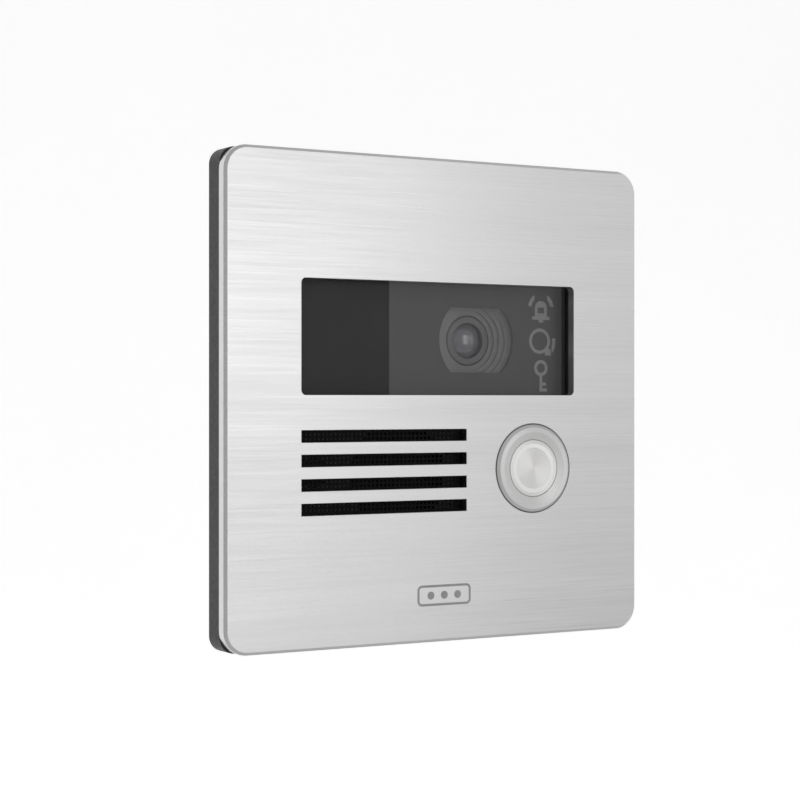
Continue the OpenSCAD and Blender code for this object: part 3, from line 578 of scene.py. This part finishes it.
def perforated_grille():
    """Thin black sheet with rows of round holes, behind the slots."""
    low, high = size_of("grille_mesh")
    pitch, hole = 1.15, 0.4
    across = int((high.x - low.x) / pitch) // 2 * 2 - 1
    down = int((high.z - low.z) / pitch) // 2 * 2 - 1
    centre_x, centre_z = (low.x + high.x) / 2, (low.z + high.z) / 2
    left, bottom = centre_x - across * pitch / 2, centre_z - down * pitch / 2
    xs = [left + i * pitch / 2 for i in range(2 * across + 1)]
    zs = [bottom + j * pitch / 2 for j in range(2 * down + 1)]
    xs, zs = [low.x] + xs + [high.x], [low.z] + zs + [high.z]
    work = bmesh.new()
    grid = [[vertex(work, px, low.y, pz) for pz in zs] for px in xs]
    faces = []
    for i in range(len(xs) - 1):
        for j in range(len(zs) - 1):
            if i in (0, len(xs) - 2) or j in (0, len(zs) - 2):
                faces.append(work.faces.new((grid[i][j], grid[i + 1][j], grid[i + 1][j + 1], grid[i][j + 1])))
    for i in range(2, len(xs) - 2, 2):
        for j in range(2, len(zs) - 2, 2):
            around = [grid[i + a][j + b] for a, b in
                      ((1, 0), (1, 1), (0, 1), (-1, 1), (-1, 0), (-1, -1), (0, -1), (1, -1))]
            inside = [
                vertex(work, xs[i] + hole * math.cos(t), low.y, zs[j] + hole * math.sin(t))
                for t in (math.pi / 4 * k for k in range(8))
            ]
            for k in range(8):
                n = (k + 1) % 8
                faces.append(work.faces.new((around[k], around[n], inside[n], inside[k])))
            work.verts.remove(grid[i][j])
    work.normal_update()
    bmesh.ops.solidify(work, geom=faces, thickness=(high.y - low.y) * MM)
    lowest = min(v.co.y for v in work.verts)
    for v in work.verts:
        v.co.y += low.y * MM - lowest
    settle_order(work)
    made = piece("grille_sheet", work, "black_mesh")
    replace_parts(made, "grille_mesh")


perforated_grille()


def etched_mark():
    """A plain outline round three dots, etched in the lower part of the face."""
    low = size_of("front_cover")[0]
    x, z = 0.3, low.z + 11.6
    width, height, corner, line = 15.6, 5.2, 1.3, 0.6
    dot, spacing = 2, 3.9
    depth = 0.012
    near, far = low.y - depth, low.y + depth
    work = bmesh.new()
    outer = rounded_outline(x, z, width, height, corner)
    inner = rounded_outline(x, z, width - 2 * line, height - 2 * line, corner - line)
    sheet(work, outer, near, far, inner)
    for step in (-1, 0, 1):
        sheet(work, rounded_outline(x + spacing * step, z, dot, dot, 0.99 * dot / 2), near, far)
    finish = metal("steel_etched", (0.36, 0.36, 0.36), 0.5, 700, 0.3, edge=0.02)
    piece("etched_mark", work, "brushed_steel", finish)


etched_mark()

# ---------------------------------------------------------------- springs and leads


def spring(name, node, wire, turns):
    """A compression spring with closed ends."""
    low, high = size_of(node)
    x, z = (low.x + high.x) / 2, (low.z + high.z) / 2
    radius = (high.x - low.x) / 2 - wire
    start, rise = low.y + wire, high.y - low.y - 2 * wire
    path = []
    steps = 40 * turns
    closed_turns = 0.75
    closed = closed_turns / turns
    closed_pitch = 2.1 * wire
    for i in range(steps + 1):
        t = i / steps
        inner = min(1.0, max(0.0, (t - closed) / (1 - 2 * closed)))
        flat = closed_pitch * (min(t, closed) + max(0.0, t - 1 + closed)) * turns
        path.append((
            x + radius * math.cos(2 * math.pi * turns * t),
            start + flat + (rise - 2 * closed_pitch * closed_turns) * inner,
            z + radius * math.sin(2 * math.pi * turns * t),
        ))
    work = bmesh.new()
    tube(work, path, wire)
    made = piece(name, work, "spring_steel")
    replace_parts(made, node)
    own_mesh(made)


SPRING_TURNS = 5
for name, node, wire, joint, fixed_end in (
    ("call_spring", "button_spring", 0.35, "call_button_press", "high"),
    ("tamper_coil", "tamper_spring", 0.25, "tamper_pin_press", "low"),
):
    spring(name, node, wire, SPRING_TURNS)


def leads(name, node, slot, ends, radius, reach):
    """Insulated leads between pairs of points, straight at both ends."""
    work = bmesh.new()
    for start, finish in ends:
        start, finish = Vector(start), Vector(finish)
        first, last = start + Vector((0, 0.3, 0)), finish - Vector((0, 0.3, 0))
        path = [start] + bow(first, start + Vector(reach[0]), finish + Vector(reach[1]), last, 28) + [finish]
        tube(work, path, radius, 14)
    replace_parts(piece(name, work, slot), node)


LEAD_RADIUS = 0.5
board_y = size_of("main_board")[0].y
speaker_ends = [((-22.4 + 1.1 * i, 0.6, -28.9 - i), (-24.8 + 1.8 * i, board_y, -33)) for i in (0, 1)]
leads("speaker_wires", "speaker_leads", "lead_red", speaker_ends, LEAD_RADIUS, ((-1, 5, -2), (0, -6, 0)))
switch_low, switch_high = size_of("button_switch")
switch_x, switch_z = (switch_low.x + switch_high.x) / 2, (switch_low.z + switch_high.z) / 2
button_ends = [
    ((switch_x + 2.5 * i, switch_high.y, switch_z), (switch_x + 1.2 * i - 6, board_y, switch_z + 9))
    for i in (-1, 1)
]
leads("button_wires", "button_leads", "lead_yellow", button_ends, LEAD_RADIUS, ((0, 2.2, 0), (0, -2.2, 0)))


def ribbon_cable():
    """A flat cable with a slight bow between the light board and the main board."""
    low, high = size_of("led_ribbon")
    centre_z = (low.z + high.z) / 2
    steps, cores, per_core = 24, 8, 4
    half_thick, most_bend, ridge_height = 0.07, 0.9, 0.05
    last = cores * per_core
    work = bmesh.new()
    rows = []
    for i in range(steps + 1):
        t = i / steps
        bend = most_bend * math.sin(math.pi * t) ** 2
        y = low.y + (high.y - low.y) * t
        row = []
        for k in range(last + 1):
            ridge = ridge_height * abs(math.sin(math.pi * k / per_core))
            row.append((low.x + (high.x - low.x) * k / last, y, centre_z + bend, ridge))
        rows.append(row)
    front = [[vertex(work, x, y, z + half_thick + r) for x, y, z, r in row] for row in rows]
    back = [[vertex(work, x, y, z - half_thick - r) for x, y, z, r in row] for row in rows]
    for i in range(steps):
        for k in range(last):
            work.faces.new((front[i][k], front[i][k + 1], front[i + 1][k + 1], front[i + 1][k]))
            work.faces.new((back[i][k], back[i + 1][k], back[i + 1][k + 1], back[i][k + 1]))
        for k in (0, last):
            work.faces.new((front[i][k], front[i + 1][k], back[i + 1][k], back[i][k]))
    for i in (0, steps):
        for k in range(last):
            work.faces.new((front[i][k], front[i][k + 1], back[i][k + 1], back[i][k]))
    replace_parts(piece("ribbon_cable", work, "ribbon_amber"), "led_ribbon")


ribbon_cable()

# ---------------------------------------------------------------- camera lights and board parts


def infrared_domes():
    """Four round-topped infrared lamps, on the light board's near side."""
    low, high = size_of("ir_leds")
    flange, flange_thick, chamfer = 2.9, 1.5, 0.15
    dome, dome_height = 2.4, 1.3
    work = bmesh.new()
    turns = [math.radians(a) for a in range(12, 91, 13)]
    outline = [(0, low.y)]
    outline += [(dome * math.sin(a), low.y + dome_height * (1 - math.cos(a))) for a in turns]
    outline += [(dome, high.y - flange_thick), (flange - chamfer, high.y - flange_thick)]
    outline += [(flange, high.y - flange_thick + chamfer), (flange, high.y), (0, high.y)]
    for x in (low.x + flange, high.x - flange):
        for z in (low.z + flange, high.z - flange):
            lathe(work, x, z, outline, 40)
    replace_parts(piece("infrared_lamps", work, "led_lens"), "ir_leds")


infrared_domes()


def capacitor_tops():
    """Aluminium tops, domed at the rim, on the three capacitors."""
    low, high = size_of("capacitors")
    radius = (high.z - low.z) / 2
    z = (low.z + high.z) / 2
    work = bmesh.new()
    for x in (low.x + radius, (low.x + high.x) / 2, high.x - radius):
        lathe(work, x, z, [
            (0, high.y - 0.05), (3.1, high.y - 0.05), (3.2, high.y + 0.1), (2.9, high.y + 0.22),
            (1.6, high.y + 0.12), (1.4, high.y + 0.05), (0, high.y + 0.05),
        ], 40)
    piece("capacitor_tops", work, "bright_metal")


capacitor_tops()


def small_board_parts():
    """Rows of small resistors and capacitors with plated ends, on the main board's far side."""
    y0 = size_of("main_board")[1].y
    bodies, ends = bmesh.new(), bmesh.new()
    rows = ((-16, 13.6, 7, 2.6, 0), (-16, -1.6, 7, 2.6, 0), (10, -1, 5, 2.6, 0), (26, 12.5, 4, 2.6, 0),
            (-31, 8, 5, 2.6, 1), (2.5, 2, 5, 2.6, 1), (19, -12, 4, 2.6, 1))
    for x0, z0, count, pitch, upright in rows:
        for i in range(count):
            x, z = x0 + (0 if upright else pitch * i), z0 + (pitch * i if upright else 0)
            w, h = (0.9, 1.3) if not upright else (1.3, 0.9)
            block(bodies, x, z, w, h, y0 - 0.02, y0 + 0.5, 0.06)
            for side in (-1, 1):
                shift = side * 0.75
                block(ends, x + (shift if upright else 0), z + (0 if upright else shift),
                      0.32 if upright else 0.92, 0.92 if upright else 0.32, y0 - 0.02, y0 + 0.53, 0.06)
    piece("board_passives", bodies, "chip_black")
    piece("passive_ends", ends, "bright_metal")


small_board_parts()

# ---------------------------------------------------------------- back: jack, terminals and label


def jack_contacts():
    """Eight sprung contacts that slope across the mouth of the network jack."""
    low, high = size_of("network_jack")
    centre_x = (low.x + high.x) / 2
    work = bmesh.new()
    contacts, pitch, wire = 8, 1.02, 0.2
    # Each contact's way in and down from the mouth's edge
    slope = ((-1.2, -3.35), (-3, -3.4), (-5, -6.4), (-9, -6.2))
    for i in range(contacts):
        x = centre_x + (i - (contacts - 1) / 2) * pitch
        path = bow(*((x, high.y + y, high.z + z) for y, z in slope), 14)
        tube(work, path, wire, 8)
    piece("jack_contacts", work, "plated_brass")


jack_contacts()


def cut(target, cutters):
    """Cut closed shapes out of a mesh, and hand back the result."""
    made = []
    for work in (target, cutters):
        bmesh.ops.recalc_face_normals(work, faces=work.faces)
        data = bpy.data.meshes.new("shape")
        work.to_mesh(data)
        work.free()
        thing = bpy.data.objects.new("shape", data)
        scene.collection.objects.link(thing)
        made.append(thing)
    keep, away = made
    modifier = keep.modifiers.new("cut", "BOOLEAN")
    modifier.object = away
    modifier.operation = "DIFFERENCE"
    modifier.solver = "EXACT"
    ready = bpy.data.meshes.new_from_object(keep.evaluated_get(bpy.context.evaluated_depsgraph_get()))
    result = bmesh.new()
    result.from_mesh(ready)
    for thing in made:
        bpy.data.objects.remove(thing)
    bpy.data.meshes.remove(ready)
    return result


def terminals():
    """Slotted clamp screws and plated clamps in the two green plugs."""
    low, high = size_of("terminal_plugs")
    centre_z = (low.z + high.z) / 2
    plug_width, poles, pitch = 17.6, 5, 3.5
    xs = [
        plug + (i - (poles - 1) / 2) * pitch
        for plug in (low.x + plug_width / 2, high.x - plug_width / 2)
        for i in range(poles)
    ]
    heads, slots, clamps = bmesh.new(), bmesh.new(), bmesh.new()
    head_r, head_edge, floor_y, top_y = 1.12, 0.12, high.y - 0.8, high.y - 0.2
    head = [(0, floor_y), (head_r, floor_y), (head_r, top_y - 0.1), (head_r - head_edge, top_y), (0, top_y)]
    for i, x in enumerate(xs):
        z = centre_z + 2.6
        lathe(heads, x, z, head, 32)
        turn = math.radians(25 * i)
        along = Vector((math.cos(turn), 0, math.sin(turn)))
        over = Vector((-math.sin(turn), 0, math.cos(turn)))
        corners = [
            Vector((x, y, z)) + along * a * 1.6 + over * b * 0.19
            for y in (floor_y + 0.25, high.y)
            for a, b in ((-1, -1), (1, -1), (1, 1), (-1, 1))
        ]
        verts = [vertex(slots, *c) for c in corners]
        for face in ((0, 1, 2, 3), (7, 6, 5, 4), (0, 4, 5, 1), (1, 5, 6, 2), (2, 6, 7, 3), (3, 7, 4, 0)):
            slots.faces.new([verts[k] for k in face])
        block(clamps, x, centre_z - 1.5, 2.1, 2.5, high.y - 4.35, high.y - 3.9, 0.1)
        block(clamps, x, centre_z - 0.55, 2.1, 0.4, high.y - 4.1, high.y - 1.2, 0.1)
    piece("terminal_screws", cut(heads, slots), "plated_brass")
    piece("terminal_clamps", clamps, "bright_metal")


terminals()


def blank_label():
    """A blank foil label with a thin printed border, in its recess on the back."""
    high = size_of("rear_cover")[1]
    x, z, width, height, recess = -8, 22, 46, 26, 0.3
    gap, corner, foil_y = 0.4, 1.7, high.y - 0.08
    inset, line, print_near, print_far = 1.5, 0.4, high.y - 0.09, high.y - 0.065
    work = bmesh.new()
    sheet(work, rounded_outline(x, z, width - 2 * gap, height - 2 * gap, corner), high.y - recess, foil_y)
    foil = metal("label_foil", (0.70, 0.70, 0.70), 0.45, 900, 0.1, edge=0.05)
    piece("blank_label", work, "jack_shield", foil)
    work = bmesh.new()
    outer = rounded_outline(x, z, width - 2 * inset, height - 2 * inset, 1.2)
    inner = rounded_outline(x, z, width - 2 * (inset + line), height - 2 * (inset + line), 0.9)
    sheet(work, outer, print_near, print_far, inner)
    piece("label_border", work, "chip_black")


blank_label()

# ---------------------------------------------------------------- floor and light

WORLD_STRENGTH = 0.5
BACKDROP_GLOW = 0.52
FLOOR_DROP = 0.9
world = bpy.data.worlds.new("studio")
scene.world = world
world.use_nodes = True
world.node_tree.nodes["Background"].inputs[0].default_value = (1, 1, 1, 1)
world.node_tree.nodes["Background"].inputs[1].default_value = WORLD_STRENGTH


def sweep(name, floor_z, back_y, front_y, columns, height, radius):
    """A plain floor that curves up into a back wall, in columns between the given places along X."""
    data = bpy.data.meshes.new(name)
    work = bmesh.new()
    profile = [(front_y, floor_z), (back_y - radius, floor_z)]
    for i in range(1, 13):
        turn = math.radians(90 * i / 12)
        profile.append((back_y - radius + radius * math.sin(turn), floor_z + radius * (1 - math.cos(turn))))
    profile.append((back_y, floor_z + height))
    rows = [[work.verts.new((x, y, z)) for x in columns] for y, z in profile]
    for lower, upper in zip(rows, rows[1:]):
        for k in range(len(columns) - 1):
            face = work.faces.new((lower[k], lower[k + 1], upper[k + 1], upper[k]))
            face.smooth = True
    work.to_mesh(data)
    work.free()
    made = bpy.data.objects.new(name, data)
    scene.collection.objects.link(made)
    return made


floor = sweep(
    "floor",
    cad_box[0].z - FLOOR_DROP,
    back_y=1.3,
    front_y=-30.0,
    columns=(-30.0, -5.0, 5.0, 30.0),
    height=6.0,
    radius=0.6,
)
paper = Material("floor_paper")
depth = paper.tree.nodes.new("ShaderNodeSeparateXYZ")
paper.link(paper.where(), depth.inputs[0])
paper.set(
    color=paper.mix(paper.spread(paper.noise(3), 0.3, 0.7), (0.78, 0.78, 0.78), (0.80, 0.80, 0.80)),
    rough=0.9,
    specular=0.1,
    glow_color=(1.0, 1.0, 1.0),
    glow=paper.spread(depth.outputs[1], 0.35, 0.95, 0.0, BACKDROP_GLOW),
)
floor.data.materials.append(paper.material)


LAMP_DISTANCE = 1.6


def lamp(name, azimuth, elevation, width, height, power):
    """A soft light seen from the panel at that azimuth, to the right of straight ahead, and elevation."""
    data = bpy.data.lights.new(name, "AREA")
    data.shape = "RECTANGLE"
    data.size = width
    data.size_y = height
    data.energy = power
    a, e = math.radians(azimuth), math.radians(elevation)
    place = Vector((math.sin(a) * math.cos(e), -math.cos(a) * math.cos(e), math.sin(e))) * LAMP_DISTANCE
    made = bpy.data.objects.new(name, data)
    made.location = place
    made.rotation_euler = (-place).to_track_quat("-Z", "Y").to_euler()
    scene.collection.objects.link(made)


# The steel mirrors what lies 25 to 37 degrees to the right: a key light at 20 degrees fades across the face.
# The side light keeps the right half from going dark, and the fill lifts the black frame's left edge.
lamp("key_softbox", 20, 6, 0.6, 1.0, 2.4)
lamp("side_softbox", 45, 5, 0.8, 0.8, 0.85)
lamp("fill_softbox", -40, 0, 0.6, 0.6, 0.2)
scene.view_settings.view_transform = "Standard"
